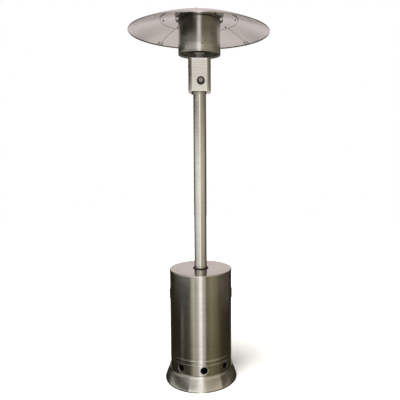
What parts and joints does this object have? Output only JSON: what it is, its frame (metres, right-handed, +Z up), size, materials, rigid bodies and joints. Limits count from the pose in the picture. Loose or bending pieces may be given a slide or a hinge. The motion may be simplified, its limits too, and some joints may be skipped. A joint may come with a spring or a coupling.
{
  "type": "outdoor gas heater",
  "caption": "Free-standing outdoor gas heater with a domed reflector, burner drum and control box on a tall post over a round bottle housing.",
  "frame": {"origin": "on the floor at the centre of the base, on the post's axis", "axes": "+Z up along the post; the control knob faces -Y; +X is to the right of someone facing the knob"},
  "size_m": [0.814, 0.814, 2.1937],
  "materials": {
    "stainless": "brushed stainless steel",
    "reflector_aluminium": "satin aluminium sheet",
    "cast_aluminium": "as cast",
    "galvanised": "zinc plated steel",
    "cast_iron": "heat blackened iron",
    "brass": "machined brass",
    "copper": "drawn copper",
    "ceramic": "glazed ceramic insulator",
    "black_plastic": "moulded black plastic",
    "black_rubber": "moulded black rubber"
  },
  "bodies": {
    "stand": {"base_pan": "galvanised", "base_skirt": "stainless", "box_floor": "stainless", "box_front_cover": "stainless", "box_rear_cover": "stainless", "box_roof": "stainless", "box_screw_1": "stainless", "box_screw_2": "stainless", "burner_floor": "stainless", "burner_head": "cast_iron", "burner_screen": "cast_iron", "emitter_drum": "stainless", "exhaust_ring": "stainless", "flange_bolt_1": "galvanised", "flange_bolt_2": "galvanised", "flange_bolt_3": "galvanised", "foot_bolt_1": "galvanised", "foot_bolt_2": "galvanised", "foot_bolt_3": "galvanised", "gas_inlet_fitting": "brass", "gas_jet": "brass", "gas_valve_body": "cast_aluminium", "head_neck": "stainless", "ignition_electrode": "ceramic", "pilot_tube": "cast_aluminium", "post": "stainless", "post_set_screw": "galvanised", "reflector_centre": "reflector_aluminium", "reflector_panel_1": "reflector_aluminium", "reflector_panel_2": "reflector_aluminium", "reflector_panel_3": "reflector_aluminium", "reflector_panel_4": "reflector_aluminium", "reflector_screw_1": "galvanised", "reflector_screw_2": "galvanised", "reflector_screw_3": "galvanised", "reflector_screw_4": "galvanised", "reflector_screw_5": "galvanised", "reflector_screw_6": "galvanised", "reflector_screw_7": "galvanised", "reflector_screw_8": "galvanised", "reflector_stud_1": "galvanised", "reflector_stud_2": "galvanised", "reflector_stud_3": "galvanised", "support_leg_1": "galvanised", "support_leg_2": "galvanised", "support_leg_3": "galvanised", "thermocouple": "copper", "tilt_switch": "black_plastic", "venturi_tube": "cast_aluminium", "wing_nut_1": "galvanised", "wing_nut_2": "galvanised", "wing_nut_3": "galvanised"},
    "housing": {"housing_cap": "stainless", "housing_handle_left": "black_plastic", "housing_handle_right": "black_plastic", "housing_shell": "stainless", "post_grommet": "black_rubber"},
    "valve_plug": {"valve_plug": "brass"},
    "knob": {"control_knob": "black_plastic", "valve_stem": "brass"}
  },
  "joints": [
    {"name": "housing_lift", "type": "slide", "parent": "stand", "child": "housing", "axis": [0, 0, 1], "range_m": [0, 1]},
    {"name": "knob_turn", "type": "hinge", "parent": "stand", "child": "valve_plug", "pos_m": [0.007, -0.042, 1.805], "axis": [0, -1, 0], "range_deg": [0, 180]},
    {"name": "knob_push", "type": "slide", "parent": "valve_plug", "child": "knob", "axis": [0, 1, 0], "range_m": [0, 0.004], "stiffness_N_per_m": 600, "springref_m": -0.004}
  ]
}
